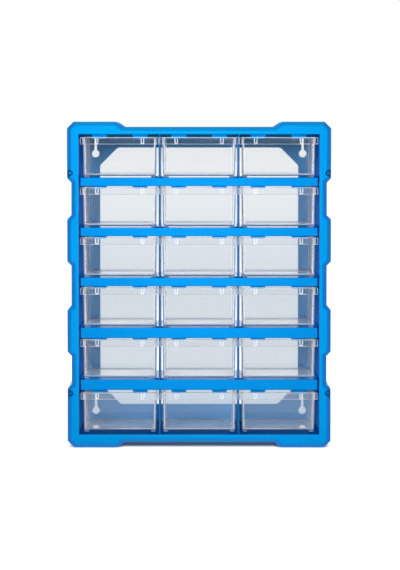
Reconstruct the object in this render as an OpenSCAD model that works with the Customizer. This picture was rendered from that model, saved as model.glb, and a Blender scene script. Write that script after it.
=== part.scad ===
// Parts bin cabinet: a moulded casing with eighteen clear drawers, three to a row.
// Millimetres. +Z is up and the drawers open towards -Y.
// The origin is at the middle of the footprint, on the surface the cabinet stands on.

/* [Casing] */
// Width over the bumps on the two sides
cabinet_w = 380; // [370:1:400]
// Depth from the bezel to the back edge
cabinet_d = 160; // [145:1:200]
// Height over the bumps at top and bottom
cabinet_h = 470; // [462:1:490]
// Width of the frame beside the drawers
side_frame = 17; // [16:0.5:19]
// Height of the frame above the drawers
top_frame = 18.1; // [17:0.1:20]
// Height of the frame below the drawers
bottom_frame = 18.9; // [17:0.1:20]
// Thickness of the moulded casing walls
wall = 2.4; // [1.8:0.1:2.8]
// Width and depth of the bevel round the bezel
bevel = 5.8; // [3:0.1:6.4]
// Plastic left between the bevel and the hollow behind it
bezel_skin = 1.2; // [1:0.1:3]
// Small chamfer round the front opening
opening_chamfer = 1.1; // [0.4:0.1:2]
// Thickness of the ribs that tie the two skins of the casing
tie_rib_t = 1.8; // [1.2:0.1:2.4]

/* [Bumps] */
// How far the side bumps stand out
side_bump = 6.1; // [4:0.1:6.5]
// How far the top and bottom bumps stand out
end_bump = 7.4; // [5:0.1:8]
// Height of each upper corner bump, down the side
top_bump_h = 81.4; // [70:0.1:88]
// Height of each lower corner bump, up the side
low_bump_h = 86; // [70:0.1:90]
// Width of each corner bump, along the top and bottom
corner_bump_w = 71; // [55:0.5:90]
// Height of the two bumps between the corners
mid_bump_h = 61; // [45:0.5:62]
// Middle of the upper side bump, above the middle of the cabinet
upper_bump_rise = 64.4; // [60:0.1:66]
// Middle of the lower side bump, below the middle of the cabinet
lower_bump_drop = 66; // [62:0.1:68]
// Length of the slope at the end of a top or bottom bump
end_slope = 10.5; // [7:0.5:14]
// Cut across the four corners
corner_cut = 9.4; // [6:0.1:13]
// Rounding at the ends of those cuts
corner_round = 2; // [0.5:0.1:2.5]
// Rounding where a bump turns down
bump_round = 4; // [1:0.5:5]
// Radius of the four linking sockets
link_r = 3.9; // [2:0.1:4.2]
// Linking socket's middle, in from the side
link_in = 4.7; // [4.3:0.1:6]
// Linking socket's middle, from the end of the corner bump
link_end = 7.4; // [4.5:0.1:12]
// Depth of a linking socket behind the bezel's face
link_depth = 9; // [6:0.1:12]
// Radius of the pin in the middle of a linking socket
link_pin_r = 1.2; // [0.8:0.1:1.4]
// How far the pin's end lies behind the bezel's face
link_pin_in = 2.6; // [2:0.1:4]

/* [Rows and columns] */
// Height of the bar at the front of a shelf
bar_h = 12.3; // [10:0.1:15]
// Height of the bars of the two lowest shelves
low_bar_h = 15.2; // [10:0.1:17]
// Thickness of the bar
bar_t = 2.2; // [1.6:0.1:3]
// How far a bar lies behind the bezel's face
bar_setback = 5; // [4:0.5:8]
// Rounding along the front edges of a bar
bar_round = 1.4; // [0.5:0.1:2]
// Thickness of a shelf board
board_t = 2.4; // [1.8:0.1:3]
// Gap between a shelf's bar and the side of the casing
side_reveal = 2.6; // [2.3:0.1:6]
// Thickness of a partition
partition_t = 2.4; // [1.6:0.1:3]
// Extra headroom in the top row
top_row_extra = 2.5; // [0:0.1:4]
// Extra headroom in the bottom row
bottom_row_extra = 1.6; // [0:0.1:4]
// Height of the runners under the bottom row
floor_runner_h = 2.8; // [2:0.1:6]
// Height of the guide strips beside the drawers
guide_h = 1.7; // [0.8:0.1:1.8]
// Thickness of the rails that hold a board's end
rail_t = 2; // [1.2:0.1:3]
// Depth of the grooves that hold the partitions
groove_depth = 1.2; // [0.6:0.1:1.4]
// Clearance between parts that are pushed together
fit = 0.15; // [0.1:0.05:0.3]

/* [Drawer stops] */
// Width of a stop
stop_w = 21.4; // [10:0.1:24]
// Gap between a stop and the middle of the partition beside it
stop_in = 17.2; // [12:0.1:24]
// How far a stop hangs below its bar
stop_drop = 3.3; // [3:0.1:6]
// Thickness of a stop
stop_t = 2.4; // [1.6:0.1:4]
// Chamfer at the inner end of a stop
stop_chamfer = 2; // [0.5:0.1:2.6]
// Gap between a shut drawer's front wall and its stops
stop_gap = 2; // [0.6:0.1:4]

/* [Back frame] */
// Thickness of the back frame
back_t = 2.6; // [1.8:0.1:3]
// Height of the stiffening ribs on the back
back_rib_h = 3; // [1:0.1:4]
// Thickness of the stiffening ribs
back_rib_t = 2; // [1.2:0.1:3]
// Width of the frame left beside the window, inside the cavity
window_side = 25.3; // [23.5:0.1:40]
// Height of the frame left below the window
window_low = 30; // [26:0.1:45]
// Height of the frame left above the window
window_high = 19.4; // [16:0.1:40]
// Cut across the window's upper corners
window_cut_high = 26.5; // [26:0.1:50]
// Cut across the window's lower corners
window_cut_low = 30.6; // [27:0.1:50]
// Rounding at the ends of those cuts
window_round = 6; // [1:0.5:10]
// Clearance round the back frame
back_fit = 0.3; // [0.2:0.05:0.6]
// Length of a snap nose that holds the back frame
snap_len = 14; // [8:1:24]
// How far a snap nose stands out
snap_out = 0.9; // [0.6:0.1:1.2]

/* [Keyholes] */
// Middle of a keyhole's round part, in from the side of the cavity
keyhole_in = 18.75; // [16:0.05:19]
// Middle of the lower keyholes above the cavity's floor
keyhole_low = 20.6; // [17:0.1:22]
// Middle of the upper keyholes below the cavity's ceiling
keyhole_high = 28.4; // [27.5:0.1:30]
// Radius of a keyhole's round part
keyhole_r = 5.5; // [4:0.1:6]
// Length of the slot above the middle of the round part
keyhole_slot = 24; // [16:0.5:24.5]
// Width of the slot at the round part
slot_w_bottom = 4.6; // [4:0.1:6]
// Width of the slot at its top
slot_w_top = 2.6; // [2:0.1:4]

/* [Drawers] */
// Thickness of a drawer's walls
drawer_wall = 1.5; // [1:0.1:2.2]
// Thickness of a drawer's floor
drawer_floor = 1.6; // [1.2:0.1:2.4]
// Gap beside a drawer's body, at its top
body_play = 2.9; // [2.6:0.1:5]
// Draft of one side, from the top to the bottom of a drawer
draft = 0.5; // [0:0.1:2]
// Rounding along the lower edges
body_round = 4; // [2.5:0.1:6]
// Rounding of the upright edges at the back
back_round = 5; // [2.6:0.1:9]
// Rounding of the upright edges at the front
front_round = 4; // [2.4:0.1:6]
// How far a drawer's front wall lies behind the bezel's face
front_setback = 10; // [9.6:0.1:14]
// Gap between a drawer and the back frame
back_gap = 4.4; // [2:0.1:12]
// Gap above a drawer
top_gap = 1.7; // [0.8:0.1:1.9]
// Gap under a drawer's skids
slide_gap = 0.3; // [0.2:0.05:0.5]
// Width of the rim round a drawer's top
rim_w = 1.5; // [0.8:0.1:1.8]
// Height of the grip lip
lip_h = 10.2; // [8:0.1:13]
// Thickness of the grip lip, its top and its cheeks
lip_t = 1.6; // [1.2:0.1:2]
// How far the lip's front lies behind the bezel's face
lip_setback = 3; // [2:0.1:4]
// Half the gap between the lips of two drawers side by side
lip_play = 0.6; // [0.5:0.1:1]
// How far the cheeks lie in from the ends of the lip
cheek_in = 3.4; // [3:0.1:4.2]
// Rounding at the lip's upper corners
lip_round = 2; // [0.5:0.1:3]
// Height of the skids under a drawer
skid_h = 2; // [1.9:0.1:3]
// Width of a skid
skid_w = 5.7; // [4:0.1:7]
// How far a skid lies in from the drawer's side
skid_in = 1.8; // [1.6:0.1:5]
// Gap between a skid and its guide strip
guide_play = 0.6; // [0.3:0.1:1.2]

/* [Label hooks] */
// Middle of a label hook, in from the drawer's side
hook_in = 19; // [10:0.1:27]
// Width of a label hook
hook_w = 5.5; // [4:0.1:8]
// Height of a label hook
hook_h = 9.6; // [7:0.1:12]
// Thickness of a hook's wire
hook_wire = 1.2; // [0.8:0.1:1.6]
// Top of a hook below the top of the drawer
hook_drop = 3.7; // [2:0.1:6]
// How far a hook stands out from the front wall
hook_out = 2.2; // [1:0.1:2.4]

/* [Hidden] */

rows = 6;
columns = 3;
low_bars = 2;       // shelves with the taller bar, from the lowest up
$fn = 48;
cut = 1;            // how far a cutting solid runs past what it cuts
round_steps = 3;    // facets on a rounded turn of an outline
sharp_round = 0.5;  // rounding left where an inset swallows a turn
quarter = 90;       // degrees in a quarter turn

casing_blue = [0.02, 0.62, 0.94];
shelf_blue = [0.02, 0.58, 0.92];
clear_plastic = [0.86, 0.92, 0.97, 0.45];

// Casing, front to back
front_y = -cabinet_d / 2;
rear_y = cabinet_d / 2;
hollow_y = front_y + bevel + bezel_skin;
back_seat_y = rear_y - back_rib_h - back_t;

// Cavity
cavity_half = cabinet_w / 2 - side_frame;
ceiling_z = cabinet_h - top_frame;
ground_z = bottom_frame;
runner_z = ground_z + floor_runner_h;

// Rows and columns
function bar_height(k) = k < rows - low_bars ? bar_h : low_bar_h;
bars_h = (rows - 1 - low_bars) * bar_h + low_bars * low_bar_h;
cell_h = (ceiling_z - runner_z - top_row_extra - bottom_row_extra - bars_h) / rows;
shelf_half = cavity_half - side_reveal;
cell_w = (2 * shelf_half - (columns - 1) * partition_t) / columns;
column_pitch = cell_w + partition_t;
column_x = [for (c = [0 : columns - 1]) (c - (columns - 1) / 2) * column_pitch];
partition_x = [for (c = [0 : columns - 2]) (c - (columns - 2) / 2) * column_pitch];
// Top of shelf k, counted from the top
function shelf_z(k) = k == 1 ? ceiling_z - top_row_extra - cell_h
    : shelf_z(k - 1) - bar_height(k - 1) - cell_h;
// What the drawers of row r stand on
function row_floor_z(r) = r < rows ? shelf_z(r) : runner_z;

// Shelves and partitions, front to back
bar_y = front_y + bar_setback;
board_back_y = back_seat_y - back_fit;
partition_y = bar_y + bar_t + back_fit;
lap_y = (partition_y + board_back_y) / 2;
rail_y = partition_y + bar_setback;
stop_y = front_y + front_setback + drawer_wall + stop_gap;
stop_outer = column_pitch / 2 - stop_in;
stop_inner = stop_outer - stop_w;

// Drawers
body_h = cell_h - slide_gap - skid_h - top_gap;
drawer_h = skid_h + body_h;
body_half_top = cell_w / 2 - body_play;
body_half_bottom = body_half_top - draft;
body_front_y = front_y + front_setback;
body_back_y = back_seat_y - back_gap;
lip_half = column_pitch / 2 - lip_play;
lip_y = front_y + lip_setback;
hook_x = body_half_top - hook_in;
skid_edge = body_half_bottom - skid_in;
guide_inner = skid_edge + guide_play;
guide_outer = cell_w / 2 - fit;

// Back frame
window_half = cavity_half - window_side;
window_base = ground_z + window_low;
window_top = ceiling_z - window_high;
keyhole_x = cavity_half - keyhole_in;
keyhole_z = [ground_z + keyhole_low, ceiling_z - keyhole_high];

// ---- Outlines ------------------------------------------------------------

// Corners of the right half of the casing's outline, from the bottom up: x, z, rounding
half_outline = let (
    w = cabinet_w / 2,
    recess = w - side_bump,
    mid = cabinet_h / 2,
    lower = mid - lower_bump_drop,
    upper = mid + upper_bump_rise,
    reach = mid_bump_h / 2
) [
    [w - corner_bump_w - end_slope, end_bump, 0],
    [w - corner_bump_w, 0, bump_round],
    [w - corner_cut, 0, corner_round],
    [w, corner_cut, corner_round],
    [w, low_bump_h, bump_round],
    [recess, low_bump_h + side_bump, 0],
    [recess, lower - reach - side_bump, 0],
    [w, lower - reach, bump_round],
    [w, lower + reach, bump_round],
    [recess, lower + reach + side_bump, 0],
    [recess, upper - reach - side_bump, 0],
    [w, upper - reach, bump_round],
    [w, upper + reach, bump_round],
    [recess, upper + reach + side_bump, 0],
    [recess, cabinet_h - top_bump_h - side_bump, 0],
    [w, cabinet_h - top_bump_h, bump_round],
    [w, cabinet_h - corner_cut, corner_round],
    [w - corner_cut, cabinet_h, corner_round],
    [w - corner_bump_w, cabinet_h, bump_round],
    [w - corner_bump_w - end_slope, cabinet_h - end_bump, 0]
];
casing_outline = concat(half_outline, mirrored(half_outline));

// Corners of the right half of the window, from the bottom up
half_window = let (w = window_half, low = window_base, high = window_top) [
    [w - window_cut_low, low, window_round],
    [w, low + window_cut_low, window_round],
    [w, high - window_cut_high, window_round],
    [w - window_cut_high, high, window_round]
];
window_outline = concat(half_window, mirrored(half_window));

// The same corners on the other side, in the order that closes the outline
function mirrored(half) = [for (i = [len(half) - 1 : -1 : 0]) [-half[i][0], half[i][1], half[i][2]]];

// Corners of the cavity, larger all round by grow
function cavity_outline(grow) = let (
    half = cavity_half + grow,
    low = ground_z - grow,
    high = ceiling_z + grow
) [[half, low], [half, high], [-half, high], [-half, low]];

function point(corner) = [corner[0], corner[1]];
// Outward normal of the side that leaves corner i of an anticlockwise outline
function side_normal(outline, i) = let (
    count = len(outline),
    step = point(outline[(i + 1) % count]) - point(outline[i])
) [step[1], -step[0]] / norm(step);
// Corner i after both its sides have moved inwards by d
function inset_corner(outline, i, d) = let (
    count = len(outline),
    before = side_normal(outline, (i + count - 1) % count),
    after = side_normal(outline, i)
) point(outline[i]) - (before + after) * d / (1 + before * after);
// The whole outline moved inwards by d, its rounded corners as arcs
function inset_outline(outline, d) = [for (i = [0 : len(outline) - 1])
    each outline[i][2] == 0 ? [inset_corner(outline, i, d)] : let (
        count = len(outline),
        before = side_normal(outline, (i + count - 1) % count),
        after = side_normal(outline, i),
        radius = max(outline[i][2] - d, sharp_round),
        middle = inset_corner(outline, i, d + radius),
        start = atan2(before[1], before[0]),
        turn = atan2(before[0] * after[1] - before[1] * after[0], before * after)
    ) [for (s = [0 : round_steps])
        let (a = start + turn * s / round_steps) middle + radius * [cos(a), sin(a)]]];

// ---- Helpers -------------------------------------------------------------

// Carries a flat shape drawn in X and Z from y0 to y1
module along_y(y0, y1) {
    translate([0, y1, 0]) rotate([90, 0, 0]) linear_extrude(height = y1 - y0) children();
}

// Carries a flat shape drawn in Y and Z from x0 to x1
module along_x(x0, x1) {
    translate([x0, 0, 0]) rotate([90, 0, 90]) linear_extrude(height = x1 - x0) children();
}

// A box between two corners
module block(low, high) {
    translate(low) cube(high - low);
}

// Both sides of the middle plane
module both_sides() {
    children();
    mirror([1, 0, 0]) children();
}

// A solid through outlines with the same number of points, each at its own depth
module loft_y(outlines, depths) {
    count = len(outlines[0]);
    last = len(outlines) - 1;
    polyhedron(
        points = [for (k = [0 : last], p = outlines[k]) [p[0], depths[k], p[1]]],
        faces = concat(
            [[for (i = [count - 1 : -1 : 0]) i]],
            [[for (i = [0 : count - 1]) last * count + i]],
            [for (k = [0 : last - 1], i = [0 : count - 1])
                let (j = (i + 1) % count, near = k * count, far = near + count)
                    [near + i, near + j, far + j, far + i]]),
        convexity = 8);
}

// ---- Casing --------------------------------------------------------------

module casing() {
    color(casing_blue) difference() {
        union() {
            difference() {
                union() {
                    outer_skin();
                    inner_skin();
                    tie_ribs();
                    link_bosses();
                }
                front_opening();
            }
            board_rails();
            floor_runners();
            stops(ceiling_z + groove_depth, ceiling_z - top_row_extra - stop_drop);
            snap_noses();
        }
        partition_grooves();
        linking_sockets();
    }
}

// Bezel and outer skin, hollow behind the bezel
module outer_skin() {
    difference() {
        intersection() {
            loft_y([inset_outline(casing_outline, bevel + cut), inset_outline(casing_outline, 0),
                    inset_outline(casing_outline, 0)],
                [front_y - cut, front_y + bevel, rear_y + cut]);
            block([-cabinet_w, front_y, -cut], [cabinet_w, rear_y, cabinet_h + cut]);
        }
        along_y(hollow_y, rear_y + 2 * cut) polygon(inset_outline(casing_outline, wall));
    }
}

// Skin round the cavity, as far back as the seat of the back frame
module inner_skin() {
    along_y(hollow_y - bezel_skin, back_seat_y) polygon(cavity_outline(wall));
}

// The cavity, with a small chamfer where it meets the bezel's face
module front_opening() {
    along_y(front_y - cut, rear_y + cut) polygon(cavity_outline(0));
    loft_y([cavity_outline(opening_chamfer + cut), cavity_outline(-cut)],
        [front_y - cut, front_y + opening_chamfer + cut]);
}

// Ribs in the hollow between the two skins
module tie_ribs() {
    along_y(hollow_y - bezel_skin, back_seat_y) difference() {
        intersection() {
            polygon(inset_outline(casing_outline, wall / 2));
            union() {
                for (k = [1 : rows - 1])
                    translate([-cabinet_w / 2, shelf_z(k) - board_t / 2 - tie_rib_t / 2])
                        square([cabinet_w, tie_rib_t]);
                for (x = concat(column_x, partition_x))
                    translate([x - tie_rib_t / 2, 0]) square([tie_rib_t, cabinet_h]);
            }
        }
        polygon(cavity_outline(wall / 2));
    }
}

// Pairs of rails on each side wall, between which the ends of the boards slide in
module board_rails() {
    slot = board_t + 2 * fit;
    for (k = [1 : rows - 1], top = [shelf_z(k) + fit + rail_t, shelf_z(k) + fit - slot])
        both_sides() block([shelf_half + fit, rail_y, top - rail_t],
            [cavity_half + wall / 2, back_seat_y, top]);
}

// Stepped runners on the casing's floor, under the skids of the bottom row
module floor_runners() {
    inner = skid_edge - skid_w - guide_play;
    base = ground_z - wall / 2;
    for (x = column_x)
        translate([x, 0, 0]) both_sides() along_y(stop_y, board_back_y) polygon([
            [inner, base],
            [guide_outer, base],
            [guide_outer, runner_z + guide_h],
            [guide_inner, runner_z + guide_h],
            [guide_inner, runner_z],
            [inner, runner_z]
        ]);
}

// Two stops for each drawer of a row, from z_high down to z_low
module stops(z_high, z_low) {
    for (x = column_x)
        translate([x, 0, 0]) both_sides() along_y(stop_y, stop_y + stop_t) polygon([
            [stop_inner, z_high],
            [stop_inner, z_low + stop_chamfer],
            [stop_inner + stop_chamfer, z_low],
            [stop_outer, z_low],
            [stop_outer, z_high]
        ]);
}

// Grooves in the ceiling and the floor for the edges of the partitions
module partition_grooves() {
    reach = partition_t / 2 + fit;
    for (x = partition_x, z = [ground_z - groove_depth - fit, ceiling_z])
        block([x - reach, partition_y - fit, z],
            [x + reach, rear_y + cut, z + groove_depth + fit]);
}

// Puts something at each linking socket, its Z axis towards the front, its origin at depth y
module at_links(y) {
    for (z = [low_bump_h - link_end, cabinet_h - top_bump_h + link_end])
        both_sides() translate([cabinet_w / 2 - link_in, y, z]) rotate([90, 0, 0]) children();
}

// Sockets in the corner bumps, each round a pin, for clips that link two cabinets
module linking_sockets() {
    side = cabinet_w / 2 - wall;
    floor_y = front_y + link_depth;
    intersection() {
        at_links(floor_y) difference() {
            cylinder(r = link_r, h = link_depth + cut);
            cylinder(r = link_pin_r, h = link_depth - link_pin_in);
        }
        block([-side, front_y - cut, 0], [side, floor_y + cut, cabinet_h]);
    }
}

// Bosses behind the bezel that close the linking sockets
module link_bosses() {
    far = front_y + link_depth + wall;
    intersection() {
        at_links(far) cylinder(r = link_r + wall, h = far - hollow_y + bezel_skin / 2);
        along_y(hollow_y - bezel_skin, far + cut) polygon(inset_outline(casing_outline, wall / 2));
    }
}

// Noses inside the rear edge, over which the back frame snaps in
module snap_noses() {
    nose_y = back_seat_y + back_t;
    side_x = cabinet_w / 2 - wall;
    mid = cabinet_h / 2;
    foot_x = cabinet_w / 2 - corner_bump_w / 2 - corner_cut / 2;
    for (z = [mid - lower_bump_drop, mid + upper_bump_rise])
        both_sides() translate([side_x, nose_y, z]) snap_nose();
    for (turn = [[wall, 90], [cabinet_h - wall, -90]])
        both_sides() translate([foot_x, nose_y, turn[0]]) rotate([0, turn[1], 0]) snap_nose();
}

// One nose: a wedge that stands out towards -X, with its flat towards -Y
module snap_nose() {
    translate([0, 0, -snap_len / 2]) linear_extrude(height = snap_len) polygon([
        [wall / 2, back_fit],
        [-snap_out, back_fit],
        [-snap_out, back_fit + snap_out / 2],
        [0, back_rib_h - fit],
        [wall / 2, back_rib_h - fit]
    ]);
}

// ---- Back frame ----------------------------------------------------------

module back_frame() {
    color(shelf_blue) difference() {
        union() {
            along_y(back_seat_y, back_seat_y + back_t)
                polygon(inset_outline(casing_outline, wall + back_fit));
            back_ribs();
        }
        along_y(back_seat_y - cut, rear_y + cut) polygon(inset_outline(window_outline, 0));
        for (z = keyhole_z)
            both_sides() translate([keyhole_x, 0, z]) keyhole();
    }
}

// Ribs on the back: one round the window, one near the rim and ties between them
module back_ribs() {
    rim = wall + back_fit + snap_out + back_rib_t;
    frame_half = cavity_half + wall;
    along_y(back_seat_y + back_t / 2, rear_y) {
        difference() {
            polygon(inset_outline(window_outline, -back_rib_t));
            polygon(inset_outline(window_outline, 0));
        }
        difference() {
            polygon(inset_outline(casing_outline, rim));
            polygon(inset_outline(casing_outline, rim + back_rib_t));
        }
        for (k = [1 : rows - 1])
            difference() {
                translate([-frame_half, shelf_z(k) - board_t / 2 - back_rib_t / 2])
                    square([2 * frame_half, back_rib_t]);
                polygon(inset_outline(window_outline, -back_rib_t / 2));
            }
        for (x = partition_x)
            difference() {
                translate([x - back_rib_t / 2, end_bump + rim])
                    square([back_rib_t, cabinet_h - 2 * end_bump - 2 * rim]);
                polygon(inset_outline(window_outline, -back_rib_t / 2));
            }
    }
}

// A keyhole that hangs on a screw: a round hole with a slot that narrows upwards
module keyhole() {
    translate([0, rear_y + cut, 0]) rotate([90, 0, 0])
        cylinder(r = keyhole_r, h = rear_y - back_seat_y + 2 * cut);
    along_y(back_seat_y - cut, rear_y + cut) {
        polygon([
            [-slot_w_bottom / 2, 0],
            [slot_w_bottom / 2, 0],
            [slot_w_top / 2, keyhole_slot],
            [-slot_w_top / 2, keyhole_slot]
        ]);
        translate([0, keyhole_slot]) circle(r = slot_w_top / 2);
    }
}

// ---- Shelves and partitions ----------------------------------------------

// Shelf k, counted from the top
module shelf(k) {
    top = shelf_z(k);
    low = top - bar_height(k);
    stop_low = low - stop_drop - (k == rows - 1 ? bottom_row_extra : 0);
    color(shelf_blue) difference() {
        union() {
            bar(low, top);
            block([-shelf_half, bar_y + bar_t / 2, top - board_t],
                [shelf_half, board_back_y, top]);
            block([-cavity_half + fit, rail_y, top - board_t],
                [cavity_half - fit, board_back_y, top]);
            guide_strips(top);
            stops(top - board_t / 2, stop_low);
        }
        for (x = partition_x)
            block([x - partition_t / 2 - fit, lap_y, top - board_t - cut],
                [x + partition_t / 2 + fit, board_back_y + cut, top + guide_h + cut]);
    }
}

// The bar along a shelf's front, with rounded edges
module bar(low, top) {
    far = bar_y + bar_t;
    function edge(y, z, start) = [for (s = [0 : round_steps])
        let (a = start + quarter * s / round_steps)
            [y + bar_round * cos(a), z + bar_round * sin(a)]];
    along_x(-shelf_half, shelf_half) polygon(concat(
        [[far, low], [far, top]],
        edge(bar_y + bar_round, top - bar_round, quarter),
        edge(bar_y + bar_round, low + bar_round, 2 * quarter)));
}

// Strips on a shelf that keep each drawer's skids in line
module guide_strips(top) {
    for (x = column_x)
        translate([x, 0, 0]) both_sides() block([guide_inner, stop_y, top - board_t / 2],
            [guide_outer, board_back_y, top + guide_h]);
}

// An upright board from the casing's floor to its ceiling, slotted for the shelves
module partition(x) {
    color(shelf_blue) difference() {
        block([x - partition_t / 2, partition_y, ground_z - groove_depth],
            [x + partition_t / 2, board_back_y, ceiling_z + groove_depth]);
        for (k = [1 : rows - 1])
            block([x - partition_t, partition_y - cut, shelf_z(k) - board_t - fit],
                [x + partition_t, lap_y + fit, shelf_z(k) + fit]);
    }
}

// ---- Drawers -------------------------------------------------------------

// The drawer in row r from the top and column c from the left
module drawer(r, c) {
    translate([column_x[c - 1], 0, row_floor_z(r) + slide_gap])
        color(clear_plastic) {
            drawer_body();
            drawer_rim();
            grip_lip();
            skids();
            label_hooks();
        }
}

// Section of the body across its width, smaller all round by d
function body_section(d) = let (
    low = skid_h + d,
    half = body_half_bottom - d,
    radius = body_round - d,
    corner = [for (s = [0 : round_steps])
        let (a = -quarter + quarter * s / round_steps)
            [half - radius + radius * cos(a), low + radius + radius * sin(a)]]
) concat(corner, [[body_half_top - d, drawer_h], [-body_half_top + d, drawer_h]],
    [for (i = [round_steps : -1 : 0]) [-corner[i][0], corner[i][1]]]);

// Plan of the body, smaller all round by d, with rounded corners
module body_plan(d) {
    half = body_half_top - d;
    near = body_front_y + d;
    far = body_back_y - d;
    near_round = front_round - d;
    far_round = back_round - d;
    translate([-half, near + near_round]) square([2 * half, far - near - near_round - far_round]);
    translate([-half + near_round, near]) square([2 * (half - near_round), far - near - far_round]);
    translate([-half + far_round, near + near_round])
        square([2 * (half - far_round), far - near - near_round]);
    for (side = [-1, 1]) {
        translate([side * (half - near_round), near + near_round]) circle(r = near_round);
        translate([side * (half - far_round), far - far_round]) circle(r = far_round);
    }
}

module drawer_body() {
    difference() {
        intersection() {
            along_y(body_front_y, body_back_y) polygon(body_section(0));
            linear_extrude(height = drawer_h) body_plan(0);
        }
        intersection() {
            along_y(body_front_y, body_back_y) inside_section();
            linear_extrude(height = drawer_h + cut) body_plan(drawer_wall);
        }
    }
}

// Section of the inside, open above the rim
module inside_section() {
    intersection() {
        union() {
            polygon(body_section(drawer_wall));
            translate([-body_half_top + drawer_wall, drawer_h - cut])
                square([2 * (body_half_top - drawer_wall), 2 * cut]);
        }
        translate([-body_half_top, skid_h + drawer_floor])
            square([2 * body_half_top, drawer_h]);
    }
}

// A flat rim along the sides and the back
module drawer_rim() {
    translate([0, 0, drawer_h - lip_t]) linear_extrude(height = lip_t) difference() {
        body_plan(-rim_w);
        body_plan(drawer_wall / 2);
        translate([-lip_half, front_y]) square([2 * lip_half, front_setback]);
    }
}

// The grip: a lip in front of the drawer, joined to it by a top and two cheeks
module grip_lip() {
    cheek_half = lip_half - cheek_in;
    low = drawer_h - lip_h;
    along_y(lip_y, lip_y + lip_t) lip_section();
    block([-cheek_half, lip_y + lip_t / 2, drawer_h - lip_t],
        [cheek_half, body_front_y + drawer_wall / 2, drawer_h]);
    both_sides() block([cheek_half - lip_t, lip_y + lip_t / 2, low],
        [cheek_half, body_front_y + front_round, drawer_h]);
}

// Front of the lip, with rounded upper corners
module lip_section() {
    low = drawer_h - lip_h;
    translate([-lip_half, low]) square([2 * lip_half, lip_h - lip_round]);
    translate([-lip_half + lip_round, low]) square([2 * (lip_half - lip_round), lip_h]);
    for (x = [-lip_half + lip_round, lip_half - lip_round])
        translate([x, drawer_h - lip_round]) circle(r = lip_round);
}

// Two skids under the floor, bevelled at both ends
module skids() {
    near = body_front_y + drawer_wall;
    far = body_back_y - back_round;
    both_sides() along_x(skid_edge - skid_w, skid_edge) polygon([
        [near, skid_h + drawer_floor / 2],
        [near, skid_h],
        [near + skid_h, 0],
        [far - skid_h, 0],
        [far, skid_h],
        [far, skid_h + drawer_floor / 2]
    ]);
}

// Two small hooks on the front wall that hold a label
module label_hooks() {
    both_sides() along_y(body_front_y - hook_out, body_front_y + drawer_wall / 2)
        translate([hook_x, drawer_h - hook_drop]) difference() {
            hook_outline(hook_w / 2, 0);
            hook_outline(hook_w / 2 - hook_wire, cut);
        }
}

// A round-ended drop of radius r, from above down to the hook's depth
module hook_outline(r, above) {
    low = -hook_h + hook_w / 2;
    translate([0, low]) circle(r = r);
    translate([-r, low]) square([2 * r, above - low]);
}

// ---- The cabinet ---------------------------------------------------------

casing();
back_frame();
for (k = [1 : rows - 1])
    shelf(k);
partition(partition_x[0]);  // partition_left
partition(partition_x[1]);  // partition_right
for (r = [1 : rows], c = [1 : columns])
    drawer(r, c);
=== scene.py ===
"""Dresses a parts cabinet: its blue moulded casing and boards, clear drawers, stage and camera."""
import math

import bmesh
import bpy
import numpy as np
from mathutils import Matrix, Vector


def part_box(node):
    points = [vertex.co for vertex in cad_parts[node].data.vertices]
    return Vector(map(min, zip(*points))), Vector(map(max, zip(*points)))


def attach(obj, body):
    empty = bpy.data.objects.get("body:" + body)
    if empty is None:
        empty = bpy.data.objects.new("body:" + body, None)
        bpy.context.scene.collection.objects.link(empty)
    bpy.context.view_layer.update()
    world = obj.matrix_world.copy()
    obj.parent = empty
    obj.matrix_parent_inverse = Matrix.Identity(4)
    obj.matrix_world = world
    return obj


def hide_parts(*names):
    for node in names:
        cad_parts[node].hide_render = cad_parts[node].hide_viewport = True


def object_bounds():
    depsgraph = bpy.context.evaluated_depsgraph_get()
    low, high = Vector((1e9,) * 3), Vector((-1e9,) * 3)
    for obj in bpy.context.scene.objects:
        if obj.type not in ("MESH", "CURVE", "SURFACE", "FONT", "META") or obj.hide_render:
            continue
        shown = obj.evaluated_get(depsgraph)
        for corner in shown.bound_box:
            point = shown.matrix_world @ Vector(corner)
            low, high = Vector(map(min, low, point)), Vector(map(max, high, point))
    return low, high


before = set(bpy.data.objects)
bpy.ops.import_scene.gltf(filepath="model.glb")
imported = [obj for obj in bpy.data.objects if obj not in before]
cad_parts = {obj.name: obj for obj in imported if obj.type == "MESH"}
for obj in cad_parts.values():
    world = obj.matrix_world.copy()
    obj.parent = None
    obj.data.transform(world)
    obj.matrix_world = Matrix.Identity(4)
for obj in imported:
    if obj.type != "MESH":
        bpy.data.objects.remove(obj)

bl_info = {
    "name": "Parts cabinet",
    "version": (1, 0, 0),
    "blender": (4, 5, 0),
    "location": "3D View > Sidebar > Cabinet",
    "description": "Finishes a moulded parts cabinet and its clear drawers, and sets its stage",
    "category": "Object",
}

SHELF_NODES = [f"shelf_{k}" for k in range(1, 6)]
PARTITION_NODES = ["partition_left", "partition_right"]
DRAWER_NODES = [
    f"drawer_row{row}_{column}" for row in range(1, 7) for column in ("left", "middle", "right")
]
CAD_LOW, CAD_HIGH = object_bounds()
MM = 0.001
MERGE = 1e-6                       # points closer than this are one

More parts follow.
